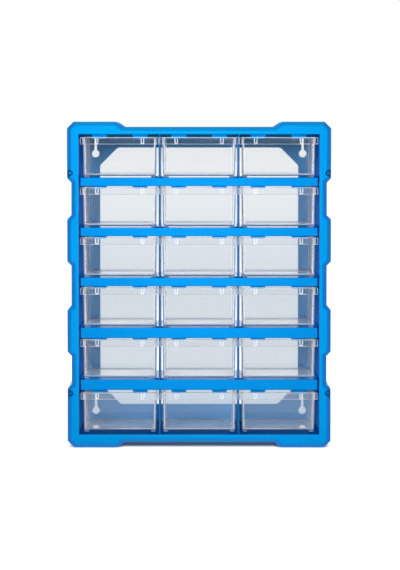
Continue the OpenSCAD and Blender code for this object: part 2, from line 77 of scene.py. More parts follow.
# Where things lie on the casing and boards, in metres. A pair is where a change starts and ends.
COLUMN_PITCH = 0.1144              # from one column's middle to the next
STOP_REACH = 0.0425                # drawer stops lie no further than this from a column's middle
CAVITY_HALF = 0.1735               # half the width of the space for the drawers
CAVITY_MIDDLE, CAVITY_RISE = 0.2354, 0.2170    # its middle height and half its height
BEHIND_FRONT = (-0.0748, -0.0740)  # depth at which the inside's painted shade takes over
SOCKET_X, SOCKET_Z = 0.1853, (0.0786, 0.3960)  # middles of the four linking sockets
SOCKET_PIN = (0.0018, 0.0026)      # radius at which a socket's pin ends
SOCKET_WALL = (0.0062, 0.0066)     # radius of a socket's wall
SOCKET_DEPTH = (-0.0797, -0.0780)  # depth over which a socket's painted shade grows
BACK_LOWER, BACK_UPPER = (0.080, 0.098), (0.395, 0.440)    # heights where the back's painted shade grows
BACK_SHADE = (0.1, 0.36)           # share of its colour that painted shade takes, below and above BACK_LOWER

# Ranges of one part of a normal, which tell where a face looks
LOOKS_AHEAD = (-0.8, -0.3)
LOOKS_PARTLY_AHEAD = (-0.5, -0.2)
LOOKS_PARTLY_ASIDE = (0.25, 0.5)
LOOKS_ALONG_AXIS = (0.8, 0.95)
LOOKS_UP = (0.3, 0.8)

# The casing's front edges that are rounded
FRONT_EDGES_FROM = -0.0735         # they lie in front of this depth
SHORTEST_EDGE = 0.003
SOCKET_CLEAR = 0.008               # and at least this far from a socket's middle
LEAST_TURN = math.radians(20)      # where faces turn by less from one to the next, nothing is done

CAMERA_ASIDE = 0.0013              # how far the camera stands from the cabinet's middle

# The floor
FLOOR_HALF = 60.0
SHADOW_REACH = 0.007               # how far from the foot its painted shadow reaches
FOOT_DEPTH = 0.036                 # how far in under the cabinet the painted shadow deepens to its darkest
FLOOR_SHADE_TINT = (0.45, 0.54, 0.65)    # painted shade: what clear plastic shows of the floor close to the cabinet
HALF_FAR = 4.0                     # a distance d counts as d / (d + HALF_FAR), from 0 to 1
NEAR_FADE, FAR_FADE = (0.08, 0.286), (0.54, 0.9)    # where the tint fades towards white
LEVEL_FADE = 0.58                  # share of white between the two
GLOSS_WITHIN = 0.7                 # how bright gloss is that is seen through clear plastic
TO_BEHIND = (-0.1, 0.1)            # depth over which the floor in front turns into that behind

# The lamps' places
HIGH_LAMP, MIDDLE_LAMP, LOW_LAMP = (-0.05, -0.95, 0.75), (0.0, -0.95, 0.45), (0.0, -0.95, 0.18)
AIM_BELOW = 0.6                    # the front lamps shine level, or down to this height
RIGHT_REAR_LAMP = (1.9, 1.9, 1.2)
RIGHT_GLINT, TOP_GLINT = (0.65, -1.3, 0.6), (0.0, -0.7, 1.3)
TOP_GLINT_SHARE = 0.3              # of a side glint's power


# ---- Sizes and colours that a user would change ----------------------------


def length(name, description, default, low=0.0, high=10.0):
    """A size in metres."""
    return bpy.props.FloatProperty(
        name=name, description=description, default=default, min=low, max=high, unit="LENGTH"
    )


def colour(name, description, default):
    """A linear colour."""
    return bpy.props.FloatVectorProperty(
        name=name, description=description, default=default, size=3, min=0, max=1, subtype="COLOR"
    )


def share(name, description, default, high=1.0):
    """A plain number from 0."""
    return bpy.props.FloatProperty(
        name=name, description=description, default=default, min=0, max=high, subtype="FACTOR"
    )


def power(name, description, default):
    """A lamp's power in watts."""
    return bpy.props.FloatProperty(
        name=name, description=description, default=default, min=0, unit="POWER"
    )


class CabinetPlastic(bpy.types.PropertyGroup):
    """Colours and finish of the moulded parts."""

    casing: colour("Casing", "Blue of the casing", (0.0005, 0.36, 0.90))
    # Painted shade: the casing's bevel faces that look aside get a darker, less green blue, for the
    # light they turn away from.
    shaded_bevels: colour(
        "Side bevels", "Blue of the casing's bevels that look sideways", (0.0005, 0.275, 0.90)
    )
    # Painted shade in part: the shelves' and partitions' blue is set a little deeper than the
    # casing's, where less light reaches them.
    boards: colour("Boards", "Blue of the shelves and partitions", (0.0005, 0.30, 0.85))
    # Painted shade: the inside blue darkens what lies behind the front within the cavity, and the
    # inside-wall blue does the same, less, on upright walls there.
    inside: colour("Inside", "Blue within the cabinet, behind its front", (0.0, 0.06, 0.28))
    inside_wall_shade: colour(
        "Inside walls", "Blue of the casing's upright walls inside", (0.0, 0.15, 0.60)
    )
    # Painted shade: the partitions' front edges get a dark blue, for the shade they lie in behind
    # the drawers.
    partition_edge_shade: colour(
        "Partition fronts", "Blue of the partitions' front edges", (0.03, 0.16, 0.36)
    )
    clear: colour("Drawers", "Tint of the clear drawers", (0.955, 0.972, 0.985))
    blue_roughness: share("Blue roughness", "Roughness of the blue plastic", 0.3)
    clear_roughness: share("Clear roughness", "Roughness of the clear plastic", 0.04)
    # Painted highlight: the drawers' fillets, thin edges and label hooks get this whitish colour and
    # less transmission, in place of the light that clear fillets refract.
    highlight_white: colour("Milky edges", "Colour of the drawers' fillets and thin edges", (0.93, 0.96, 1.0))
    # Painted gleam in part: the side walls inside are made a little whitish, standing in for the
    # gleam of a clear wall seen along its surface, and get a sheen that the lamps light.
    side: colour(
        "Side walls", "Colour of the drawers' brushed side walls inside", (0.84, 0.94, 1.0)
    )
    skid: colour(
        "Skids", "Colour of the drawers' skids, where the blue rails show", (0.30, 0.52, 0.75)
    )
    # How clear the painted highlight on the fillets and thin edges stays.
    highlight_clear_share: share("Clear share of edges", "How clear the fillets and thin edges stay", 0.8)
    casing_edge: length(
        "Casing edges", "Rounding along the casing's front edges", 1.1 * MM, 0.1 * MM, 2 * MM
    )
    fine_edge: length(
        "Board edges", "Rounding along the boards' edges", 0.5 * MM, 0.1 * MM, 0.6 * MM
    )


class CabinetStage(bpy.types.PropertyGroup):
    """Camera, lamps and surroundings."""

    camera_distance: length("Camera distance", "From the front of the casing to the camera", 4.0)
    camera_height: length("Camera height", "Height of the camera above the floor", 0.44)
    aim_height: length("Aim height", "Height of the picture's middle at the casing's front", 0.2353)
    lens: bpy.props.FloatProperty(
        name="Lens", description="Focal length on a 36 mm sensor", default=175.8, min=20, max=400,
        unit="CAMERA",
    )
    ambient: share("Ambient", "Light from all round", 0.03, 2.0)
    high_power: power("High lamp", "Power of the lamp above the camera's line", 4.9)
    middle_power: power("Middle lamp", "Power of the lamp at half height", 1.0)
    low_power: power("Low lamp", "Power of the lamp near the floor", 1.8)
    rear_power: power("Rear lamps", "Power of each rear lamp", 28.0)
    glint_power: power("Glints", "Power of each lamp that only the clear drawers see", 10.0)


def plastic():
    """The plastic settings of the scene."""
    return bpy.context.scene.cabinet_plastic


# ---- Material building -----------------------------------------------------


class Nodes:
    """Builds a material's or a world's node tree from short calls."""

    def __init__(self, owner):
        owner.use_nodes = True
        self.tree = owner.node_tree
        self.tree.nodes.clear()

    def add(self, kind, inputs=None, **settings):
        """A node with its settings, its inputs set or linked."""
        node = self.tree.nodes.new(kind)
        for key, value in settings.items():
            setattr(node, key, value)
        for key, value in (inputs or {}).items():
            self.set(node, key, value)
        return node

    def set(self, node, key, value):
        """Links a socket into an input, or sets the input's value."""
        if isinstance(value, bpy.types.NodeSocket):
            self.tree.links.new(value, node.inputs[key])
        else:
            node.inputs[key].default_value = value

    def math(self, operation, *values):
        """The output of a Math node."""
        node = self.add("ShaderNodeMath", operation=operation)
        for index, value in enumerate(values):
            self.set(node, index, value)
        return node.outputs[0]

    def product(self, first, *others):
        """Several values multiplied together."""
        for other in others:
            first = self.math("MULTIPLY", first, other)
        return first

    def glow(self, colour_in, strength):
        """The output of an Emission shader."""
        return self.add("ShaderNodeEmission", {"Color": colour_in, "Strength": strength}).outputs[0]

    def noise(self, scale, detail, vector):
        """A noise value around 0.5."""
        return self.add(
            "ShaderNodeTexNoise", {"Vector": vector, "Scale": scale, "Detail": detail}
        ).outputs["Fac"]

    def ranged(self, value, low, high, source=(0.0, 1.0)):
        """value carried from the source range to low..high."""
        inputs = {"From Min": source[0], "From Max": source[1], "To Min": low, "To Max": high}
        return self.add("ShaderNodeMapRange", {"Value": value, **inputs}).outputs["Result"]

    def mixed(self, share_of_b, a, b):
        """A colour between a and b."""
        node = self.add("ShaderNodeMix", data_type="RGBA")
        self.set(node, "Factor", share_of_b)
        for socket, value in ((node.inputs[6], a), (node.inputs[7], b)):
            if isinstance(value, bpy.types.NodeSocket):
                self.tree.links.new(value, socket)
            else:
                socket.default_value = value
        return node.outputs[2]


def rgba(values, factor=1.0):
    """A colour with full alpha, dimmed by factor."""
    return tuple(min(1.0, v * factor) for v in values) + (1.0,)


def inside_shade_share(n, x, y, z, normal, fronts_only, bright_tops):
    """1 where little light gets in: behind the front and within the cavity. The drawer stops, which
    look ahead near each column's middle, stay out of it, and so does all that looks up where
    bright_tops is set. fronts_only leaves nothing in it but what looks ahead."""
    across = n.math("LESS_THAN", n.math("ABSOLUTE", x), CAVITY_HALF)
    height = n.math("ABSOLUTE", n.math("SUBTRACT", z, CAVITY_MIDDLE))
    within = n.product(across, n.math("LESS_THAN", height, CAVITY_RISE))
    within = n.product(n.ranged(y, 0.0, 1.0, BEHIND_FRONT), within)
    if fronts_only:
        return n.product(within, n.ranged(normal["Y"], 1.0, 0.0, LOOKS_AHEAD))
    from_column = n.math("PINGPONG", x, COLUMN_PITCH / 2)
    off_stops = n.math("GREATER_THAN", from_column, STOP_REACH)
    turned = n.ranged(normal["Y"], 0.0, 1.0, LOOKS_AHEAD)
    within = n.product(within, n.math("MAXIMUM", turned, off_stops))
    if bright_tops:
        within = n.product(within, n.ranged(normal["Z"], 1.0, 0.0, LOOKS_UP))
    return within


def socket_shade_share(n, x, y, z):
    """Painted shade, up to 0.75, in the linking sockets, in the ring between each one's pin and its
    wall.
    """
    across = n.math("SUBTRACT", n.math("ABSOLUTE", x), SOCKET_X)
    rises = (n.math("ABSOLUTE", n.math("SUBTRACT", z, height)) for height in SOCKET_Z)
    rise = n.math("MINIMUM", *rises)
    ring = n.math("SQRT", n.math("ADD", n.product(across, across), n.product(rise, rise)))
    beyond_pin = n.ranged(ring, 0.0, 1.0, SOCKET_PIN)
    return n.product(
        beyond_pin, n.ranged(ring, 1.0, 0.0, SOCKET_WALL), n.ranged(y, 0.0, 0.75, SOCKET_DEPTH)
    )


def moulded_blue(
    name, tint, roughness, inside=None, walls=None, shaded_bevels=None,
    fronts_only=False, bright_tops=False, level_gloss=1.0, top_shade=1.0,
):
    """Opaque moulded plastic: a slight flow mottle, a fine spark-eroded grain and an even satin.
    inside is a colour of painted shade for where the inside and socket shade shares say, and walls
    is the same for upright walls along Y. The bevel colour is painted shade on faces that look ahead
    and aside. level_gloss scales the roughness of level faces, which the drawers polish. top_shade
    is the brightness that painted shade leaves to what looks ahead at the back frame's upper end.
    Further down it is dimmed less."""
    mat = bpy.data.materials.new(name)
    n = Nodes(mat)
    where = n.add("ShaderNodeTexCoord").outputs["Object"]
    x, y, z = n.add("ShaderNodeSeparateXYZ", {"Vector": where}).outputs
    surface = n.add("ShaderNodeNewGeometry").outputs["Normal"]
    normal = n.add("ShaderNodeSeparateXYZ", {"Vector": surface}).outputs
    flow = n.noise(9.0, 3.0, where)
    grain = n.noise(1500.0, 2.0, where)
    blotches = n.ranged(flow, 0.0, 1.0, (0.3, 0.7))
    colour_out = n.mixed(blotches, rgba(tint, 0.97), rgba(tint, 1.03))
    # Painted shade: faces that look ahead and aside, the bevel faces, take the darker bevel colour.
    if shaded_bevels is not None:
        aside = n.ranged(n.math("ABSOLUTE", normal["X"]), 0.0, 1.0, LOOKS_PARTLY_ASIDE)
        ahead = n.ranged(normal["Y"], 1.0, 0.0, LOOKS_PARTLY_AHEAD)
        colour_out = n.mixed(n.product(aside, ahead), colour_out, rgba(shaded_bevels))
    fine = n.ranged(grain, roughness - 0.04, roughness + 0.04)
    rough = n.math("ADD", n.ranged(flow, -0.03, 0.03), fine)
    polish = n.ranged(n.math("ABSOLUTE", normal["Z"]), 1.0, level_gloss, LOOKS_ALONG_AXIS)
    rough = n.product(rough, polish)
    # Painted shade on what looks ahead at the back frame, most at its upper end.
    if top_shade < 1.0:
        lower = n.ranged(z, *BACK_SHADE, BACK_LOWER)
        upper = n.ranged(z, 0.0, 1.0 - top_shade, BACK_UPPER)
        ahead = n.ranged(normal["Y"], 1.0, 0.0, LOOKS_AHEAD)
        shade = n.product(ahead, n.math("MAXIMUM", lower, upper))
        colour_out = n.mixed(shade, colour_out, (0, 0, 0, 1))
    # Painted shade behind the front, within the cavity, and in the linking sockets.
    if inside is not None:
        within = inside_shade_share(n, x, y, z, normal, fronts_only, bright_tops)
        # The colour of the painted shade; on upright walls it turns to the lighter inside-wall
        # shade.
        dull = rgba(inside)
        if walls is not None:
            upright = n.ranged(n.math("ABSOLUTE", normal["X"]), 0.0, 1.0, LOOKS_ALONG_AXIS)
            dull = n.mixed(upright, dull, rgba(walls))
        shade_share = n.math("MAXIMUM", within, socket_shade_share(n, x, y, z))
        colour_out = n.mixed(shade_share, colour_out, dull)
        rough = n.math("ADD", rough, n.product(within, 0.5))
    bump = n.add("ShaderNodeBump", {"Height": grain, "Strength": 0.12, "Distance": 0.00005})
    shader = n.add(
        "ShaderNodeBsdfPrincipled",
        {
            "Base Color": colour_out,
            "Roughness": rough,
            "Normal": bump.outputs["Normal"],
            "IOR": 1.49,
            "Specular IOR Level": 0.5,
            "Specular Tint": (0.02, 0.5, 1.0, 1.0),
        },
    )
    n.add("ShaderNodeOutputMaterial", {"Surface": shader.outputs[0]})
    return mat


def clear_plastic(name, tint, roughness, transmission, waviness, haze=0.35, haze_roughness=0.3):
    """Clear moulded plastic: glassy, with a faint waviness and slightly duller patches. Less
    transmission makes fillets and thin edges whitish, a painted highlight that stands in for the
    light clear fillets refract, and haze is the soft gleam of a wall that is seen along its surface."""
    mat = bpy.data.materials.new(name)
    n = Nodes(mat)
    where = n.add("ShaderNodeTexCoord").outputs["Object"]
    wave = n.noise(28.0, 2.0, where)
    dull = n.noise(22.0, 2.0, where)
    rough = n.ranged(dull, roughness * 0.85, roughness * 1.15, (0.3, 0.7))
    bump = n.add("ShaderNodeBump", {"Height": wave, "Strength": waviness, "Distance": 0.0002})
    shader = n.add(
        "ShaderNodeBsdfPrincipled",
        {
            "Base Color": rgba(tint),
            "Roughness": rough,
            "Normal": bump.outputs["Normal"],
            "IOR": 1.57,
            "Transmission Weight": transmission,
            "Sheen Weight": haze,
            "Sheen Roughness": haze_roughness,
        },
    )
    n.add("ShaderNodeOutputMaterial", {"Surface": shader.outputs[0]})
    return mat


# ---- Finishing CAD nodes ---------------------------------------------------


def finish_node(node, material, edge_width):
    """Gives a CAD node its material and rounds its sharp edges with modifiers."""
    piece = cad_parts[node]
    piece.data.materials.clear()
    piece.data.materials.append(material)
    weld = piece.modifiers.new("weld", "WELD")
    weld.merge_threshold = MERGE
    bevel = piece.modifiers.new("edges", "BEVEL")
    bevel.width = edge_width
    bevel.segments = 2
    bevel.limit_method = "ANGLE"
    bevel.angle_limit = math.radians(35)
    bevel.use_clamp_overlap = True
    bevel.harden_normals = True


def softened_copy(node, width, steps):
    """A copy of a CAD node, merged and freed of flat seams, whose long edges along the front are
    rounded, away from the linking sockets."""
    work = bmesh.new()
    work.from_mesh(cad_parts[node].data)
    bmesh.ops.remove_doubles(work, verts=work.verts, dist=MERGE)
    bmesh.ops.dissolve_limit(
        work, angle_limit=math.radians(0.5), verts=work.verts, edges=work.edges
    )
    chosen = []
    for edge in work.edges:
        middle = (edge.verts[0].co + edge.verts[1].co) / 2
        to_socket = min(
            math.hypot(abs(middle.x) - SOCKET_X, middle.z - height) for height in SOCKET_Z
        )
        if (
            max(v.co.y for v in edge.verts) < FRONT_EDGES_FROM
            and edge.calc_length() > SHORTEST_EDGE
            and to_socket >= SOCKET_CLEAR
            and len(edge.link_faces) == 2
            and edge.calc_face_angle(0.0) > LEAST_TURN
        ):
            chosen.append(edge)
    bmesh.ops.bevel(
        work, geom=chosen, offset=width, offset_type="OFFSET", segments=steps, profile=0.5,
        affect="EDGES", clamp_overlap=False, harden_normals=False,
    )
    mesh = bpy.data.meshes.new("soft_" + node)
    work.to_mesh(mesh)
    work.free()
    mesh.polygons.foreach_set("use_smooth", np.ones(len(mesh.polygons), bool))
    mesh.set_sharp_from_angle(angle=math.radians(28))
    piece = bpy.data.objects.new("soft_" + node, mesh)
    bpy.context.scene.collection.objects.link(piece)
    level = piece.modifiers.new("level_faces", "WEIGHTED_NORMAL")
    level.keep_sharp = True
    return piece


class CABINET_OT_casing(bpy.types.Operator):
    """Softens and finishes the blue casing"""

    bl_idname = "cabinet.casing"
    bl_label = "Casing"

    def execute(self, context):
        p = plastic()
        # Painted shade on the casing: inside it, in its sockets and on its side bevel faces.
        material = moulded_blue(
            "casing_blue_plastic", p.casing, p.blue_roughness, p.inside, p.inside_wall_shade, p.shaded_bevels,
            level_gloss=2.0,
        )
        piece = softened_copy("casing", p.casing_edge, 3)
        check_closed(piece.data)
        piece.data.materials.append(material)
        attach(piece, "carcass")
        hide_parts("casing")
        return {"FINISHED"}


class CABINET_OT_boards(bpy.types.Operator):
    """Finishes the shelves, partitions and back frame"""

    bl_idname = "cabinet.boards"
    bl_label = "Shelves, partitions and back"

    def execute(self, context):
        p = plastic()
        # Painted shade on the shelves within the cavity, but not on their tops.
        shelf = moulded_blue(
            "shelf_blue_plastic", p.boards, p.blue_roughness, p.inside,
            bright_tops=True, level_gloss=0.3,
        )
        # Painted shade on the partitions' front edges.
        partition = moulded_blue(
            "partition_blue_plastic", p.boards, p.blue_roughness, p.partition_edge_shade, fronts_only=True
        )
        # Painted shade on the back frame's front, most at its upper end.
        back = moulded_blue("back_blue_plastic", p.casing, p.blue_roughness, top_shade=0.36)
        finishes = ((SHELF_NODES, shelf), (PARTITION_NODES, partition), (["back_frame"], back))
        for nodes, material in finishes:
            for node in nodes:
                finish_node(node, material, p.fine_edge)
        return {"FINISHED"}


# ---- Clear drawers ---------------------------------------------------------

SEAM = 0.05 * MM                   # keeps the faces of a drawer's parts out of one plane
HOOK_HALF, HOOK_ROUND = 0.6 * MM, 0.35 * MM    # half a hook's thickness, and its edges' rounding
HOOK_STEPS = 13
STRAIGHT = 0.985                   # a normal with less than this along every axis is a fillet's


class CabinetDrawer(bpy.types.PropertyGroup):
    """Sizes of a drawer. They follow the CAD drawer, but for its fillets and the hooks' place."""

    height: length("Height", "From the skids to the rim", 57.8 * MM)
    half_top: length("Half width at the rim", "From the drawer's middle to its outside", 53.1 * MM)
    half_bottom: length("Half width below", "From the drawer's middle to its outside", 52.2 * MM)
    near: length("Front wall", "Where the front wall starts", -70.0 * MM, -0.1, 0.1)
    far: length("Back wall", "Where the back wall ends", 70.0 * MM, -0.1, 0.1)
    wall: length("Wall", "Wall thickness", 1.5 * MM)
    floor: length("Floor", "Floor thickness", 1.6 * MM)
    skid: length("Skid height", "Height of the skids under the floor", 2.0 * MM)
    near_round: length("Front corners", "Radius of the upright front corners", 4.0 * MM)
    far_round: length("Back corners", "Radius of the upright back corners", 5.0 * MM)
    lower_round: length("Lower fillet", "Radius round the underside", 3.9 * MM)
    floor_round: length("Floor fillet", "Radius round the floor inside", 2.5 * MM)
    rim: length("Rim", "Overhang of the rim at the sides and back", 1.5 * MM)
    rim_height: length("Rim height", "Height of the rim", 1.6 * MM)
    lip_height: length("Lip height", "Height of the grip lip", 10.2 * MM)
    lip_half: length("Half lip", "From the drawer's middle to the lip's end", 56.6 * MM)
    lip_near: length("Lip front", "Where the lip's face lies", -77.0 * MM, -0.1, 0.1)
    lip_thickness: length("Lip thickness", "Thickness of the lip", 1.6 * MM)
    cheek: length("Cheek place", "From the drawer's middle to a cheek's outside", 53.15 * MM)
    cheek_far: length("Cheek end", "Where the cheeks end on the sides", -66.0 * MM, -0.1, 0.1)
    hook_place: length("Hook place", "From the drawer's middle to a hook's middle", 32.9 * MM)
    hook_top: length("Hook top", "Height of a hook's open ends", 56.0 * MM)
    hook_bend: length("Hook bend", "Height of the middle of a hook's bend", 50.4 * MM)
    hook_radius: length("Hook radius", "Radius of the middle line of the bend", 1.85 * MM)
    hook_near: length("Hook front", "Where the hooks' face lies", -72.2 * MM, -0.1, 0.1)
    skid_inner: length("Skid inside", "From the drawer's middle to a skid's inside", 45.1 * MM)
    skid_outer: length("Skid outside", "From the drawer's middle to a skid's outside", 50.8 * MM)
    skid_near: length("Skid front", "Where the skids start", -68.5 * MM, -0.1, 0.1)
    skid_far: length("Skid back", "Where the skids end", 65.0 * MM, -0.1, 0.1)


def edge_profile(radius, steps):
    """Inset and rise of a quarter-round edge, from flat to upright: r (1 - sin a), r (1 - cos a)."""
    angle = np.linspace(0.0, math.pi / 2, steps + 1)
    return radius * (1 - np.sin(angle)), radius * (1 - np.cos(angle))


def plan_loops(half, low, high, corners, inset, steps=6, overhang=0.0, fade=None):
    """Loops round a rectangle from -half to half and low to high, drawn in by inset, one per level.
    A point is its corner's centre plus the radius times (cos a, sin a). corners holds the radii far
    right, far left, near left and near right. overhang pushes a point out along (cos a, sin a),
    times fade, one share per point."""
    half, inset, overhang = np.broadcast_arrays(
        *(np.atleast_1d(v).astype(float) for v in (half, inset, overhang))
    )
    radius = np.maximum(np.asarray(corners)[None, :] - inset[:, None], 0.1 * MM)
    side, along = np.array([1, -1, -1, 1]), np.array([1, 1, -1, -1])
    quarter = np.linspace(0.0, math.pi / 2, steps + 1)
    turn = np.arange(4)[:, None] * math.pi / 2 + quarter[None, :]
    out = np.stack([np.cos(turn), np.sin(turn)], axis=-1)
    centre = np.stack(
        [side * (half[:, None] - inset[:, None] - radius),
         (low + high) / 2 + along * ((high - low) / 2 - inset[:, None] - radius)], axis=-1)
    share_out = np.ones((4, steps + 1)) if fade is None else fade
    reach = radius[:, :, None] + overhang[:, None, None] * share_out
    return (centre[:, :, None, :] + reach[..., None] * out).reshape(len(half), -1, 2)


def lofted(loops):
    """Corner points and faces of a closed form: quads from loop to loop and a cap at each end."""
    levels, count = loops.shape[:2]
    here = np.arange(count)
    there = np.roll(here, -1)
    start = np.arange(levels - 1)[:, None] * count
    above = start + count
    quads = np.stack([start + here, start + there, above + there, above + here], axis=-1)
    caps = [here[::-1].tolist(), (here + (levels - 1) * count).tolist()]
    return loops.reshape(-1, 3), quads.reshape(-1, 4).tolist() + caps


def slab(half, low, high, start, end, corners, edge, place):
    """A plate with rounded corners and edges: loops from start to end of its thickness, drawn in by
    a quarter-round edge at both ends. place(u, v, w) carries plan and thickness to x, y, z."""
    inset, rise = edge_profile(edge, 3)
    level = np.concatenate([start + rise, (end - rise)[::-1]])
    plan = plan_loops(half, low, high, corners, np.concatenate([inset, inset[::-1]]), 5)
    depth = np.broadcast_to(level[:, None], plan.shape[:2])
    return lofted(np.stack(place(plan[..., 0], plan[..., 1], depth), axis=-1))


def tub(d):
    """The drawer's body. Its loops follow the section from the underside round the lower fillet, up
    the outside, over the rim and down the inside to the floor. The half width grows evenly with
    height, and the rim's overhang fades out round the front corners."""
    inset, rise = edge_profile(d.lower_round, 6)
    inset_in, rise_in = edge_profile(d.floor_round, 5)
    inset_edge, rise_edge = edge_profile(0.35 * MM, 3)
    under, floor_top = d.height - d.rim_height, d.skid + d.floor
    bands = [
        (inset, d.skid + rise, 0 * inset),
        ([0.0], [under], [0.0]),
        (0 * inset_edge, under + rise_edge, d.rim - inset_edge),
        (0 * inset_edge, (d.height - rise_edge)[::-1], (d.rim - inset_edge)[::-1]),
        (d.wall - inset_edge, d.height - rise_edge, 0 * inset_edge),
        ((d.wall + inset_in)[::-1], (floor_top + rise_in)[::-1], 0 * inset_in),
    ]
    inset, level, overhang = (np.concatenate(band) for band in zip(*bands))
    half = np.interp(level, [d.skid, d.height], [d.half_bottom, d.half_top])
    steps = 6
    fade = np.ones((4, steps + 1))
    fade[2] = np.linspace(1.0, 0.0, steps + 1)
    fade[3] = fade[2][::-1]
    corners = (d.far_round, d.far_round, d.near_round, d.near_round)
    plan = plan_loops(half, d.near, d.far, corners, inset, steps, overhang, fade)
    height = np.broadcast_to(level[:, None], plan.shape[:2])
    return lofted(np.concatenate([plan, height[..., None]], axis=-1))


def hook(d, side):
    """A label hook: a rounded section carried along a U. On the legs the middle line runs straight
    up, and on the bend it is the centre plus the radius times (cos a, sin a)."""
    angle = np.linspace(-math.pi, 0.0, HOOK_STEPS)
    away = np.concatenate([[-1.0], np.cos(angle), [1.0]])
    lift = np.concatenate([[0.0], np.sin(angle), [0.0]])
    rest = np.concatenate([[d.hook_top], np.full(HOOK_STEPS, d.hook_bend), [d.hook_top]])
    inner = d.near + d.wall / 2
    section = plan_loops(HOOK_HALF, d.hook_near, inner, (HOOK_ROUND,) * 4, 0.0, 3)[0]
    reach = d.hook_radius + section[None, :, 0]
    x = side * d.hook_place + away[:, None] * reach
    z = rest[:, None] + lift[:, None] * reach
    y = np.broadcast_to(section[None, :, 1], x.shape)
    return lofted(np.stack([x, y, z], axis=-1))


def drawer_parts(d):
    """The closed forms that make up one drawer, round the middle of its column, with skids at
    z = 0. The lip hangs on its plate by a thin upper web, so that the ends of plate and cheeks show
    through it."""
    top, fine, skid_round = d.height, (0.3 * MM,) * 4, (1.3 * MM,) * 4
    lip_low, lip_far = top - d.lip_height, d.lip_near + d.lip_thickness
    inner, cheek_top = d.near + d.wall / 2, top - 0.07 * MM
    cheek_half, skid_half = 0.75 * MM, d.skid / 2 + 0.4 * MM    # a skid reaches into the floor
    lip = slab(
        d.lip_half, lip_low, top, d.lip_near, lip_far, (2 * MM, 2 * MM, MM, MM), 0.75 * MM,
        lambda u, v, w: (u, w, v),
    )
    plate = slab(
        d.cheek, lip_far + SEAM, inner, top - d.rim_height, top - SEAM, fine, 0.15 * MM,
        lambda u, v, w: (u, v, w),
    )
    web = slab(
        d.cheek - MM, lip_far - MM, lip_far + MM, top - 0.45 * MM, top - 0.1 * MM, fine, 0.05 * MM,
        lambda u, v, w: (u, v, w),
    )
    parts = [tub(d), lip, plate, web]
    for side in (-1, 1):
        cheek = slab(
            cheek_half, lip_far + SEAM, d.cheek_far, lip_low + SEAM, cheek_top, fine, 0.2 * MM,
            lambda u, v, w, side=side: (side * (d.cheek - cheek_half) + u, v, w),
        )
        skid = slab(
            skid_half, d.skid_near, d.skid_far, d.skid_inner, d.skid_outer, skid_round, 0.4 * MM,
            lambda u, v, w, side=side: (side * w, v, u + skid_half),
        )
        parts += [cheek, skid, hook(d, side)]
    return parts


def closed_mesh(name, points, faces):
    """A mesh from corner points and faces, with its faces turned outwards."""
    mesh = bpy.data.meshes.new(name)
    mesh.from_pydata(points.tolist(), [], faces)
    work = bmesh.new()
    work.from_mesh(mesh)
    bmesh.ops.recalc_face_normals(work, faces=work.faces)
    work.to_mesh(mesh)
    work.free()
    return mesh


def check_closed(mesh):
    """Stops if an edge of the mesh doesn't lie between exactly two faces."""
    uses = np.zeros(len(mesh.edges), int)
    edge_of = np.empty(len(mesh.loops), int)
    mesh.loops.foreach_get("edge_index", edge_of)
    np.add.at(uses, edge_of, 1)
    if (uses != 2).any():
        raise RuntimeError(f"{mesh.name}: {int((uses != 2).sum())} edges aren't between two faces")


def united(parts):
    """One closed mesh from several closed forms, joined without inner walls. It is worked out a
    thousand times larger, where the solver is at its most exact."""
    scene = bpy.context.scene
    group = bpy.data.collections.new("drawer_parts")
    made = [
        bpy.data.objects.new(f"part_{k}", closed_mesh(f"part_{k}", points / MM, faces))
        for k, (points, faces) in enumerate(parts)
    ]
    for obj in made[1:]:
        group.objects.link(obj)
    scene.collection.objects.link(made[0])
    scene.collection.children.link(group)
    union = made[0].modifiers.new("union", "BOOLEAN")
    union.operation = "UNION"
    union.solver = "EXACT"
    union.operand_type = "COLLECTION"
    union.collection = group
    ready = made[0].evaluated_get(bpy.context.evaluated_depsgraph_get())
    mesh = bpy.data.meshes.new_from_object(ready)
    for obj in made:
        data = obj.data
        bpy.data.objects.remove(obj)
        bpy.data.meshes.remove(data)
    bpy.data.collections.remove(group)
    return mesh


def face_finishes(mesh, d):
    """The material of each face, told by its middle and by how far its normal turns from the three
    axes: 1 a whitish painted highlight for the fillets inside the tub, the lip's lower edge, its
    cheeks and the rim's edges, 2 a fainter painted highlight for the tub's outer fillets, the lip's
    other edges and its plate, 3 for the skids, 4 for the side walls inside, whose whitish part is
    painted gleam, 5 the most whitish painted highlight for the label hooks, 0 clear for the rest."""
    middle, normal = np.empty(len(mesh.polygons) * 3), np.empty(len(mesh.polygons) * 3)
    mesh.polygons.foreach_get("center", middle)
    mesh.polygons.foreach_get("normal", normal)
    x, y, z = middle.reshape(-1, 3).T * MM
    x = np.abs(x)
    facing = np.abs(normal.reshape(-1, 3))
    turned = facing.max(axis=1) < STRAIGHT
    tiny = 0.1 * MM
    lip_low, plate_low = d.height - d.lip_height, d.height - d.rim_height
    lip_far = d.lip_near + d.lip_thickness
    within = x < d.half_top - d.wall + tiny
    within &= (y > d.near + d.wall - tiny) & (y < d.far - d.wall + tiny)
    raised = within & (z > d.skid + d.floor - tiny)
    hooks = (y < d.near - tiny) & (y > d.hook_near - tiny)
    hooks &= (np.abs(x - d.hook_place) < 3 * MM) & (z < d.hook_top + tiny)
    lip = y < lip_far
    lip_edges = lip & (turned | (x > d.lip_half - tiny))
    plate = (y < d.near) & (y > lip_far) & (z > plate_low - tiny)
    cheeks = (x > d.half_bottom - d.wall) & (x < d.cheek + tiny) & (z > lip_low)
    cheeks &= (y < d.cheek_far + tiny) & (y > lip_far)
    rim = turned & (z > plate_low - tiny) & ~lip
    finish = np.zeros(len(x), np.int32)
    finish[(turned & ~within) | lip_edges] = 2
    finish[z < d.skid - tiny] = 3
    finish[(raised & turned) | cheeks | rim | (lip & (z < lip_low + MM))] = 1
    finish[plate] = 2
    finish[raised & (facing[:, 0] > STRAIGHT)] = 4
    finish[hooks] = 5
    return finish


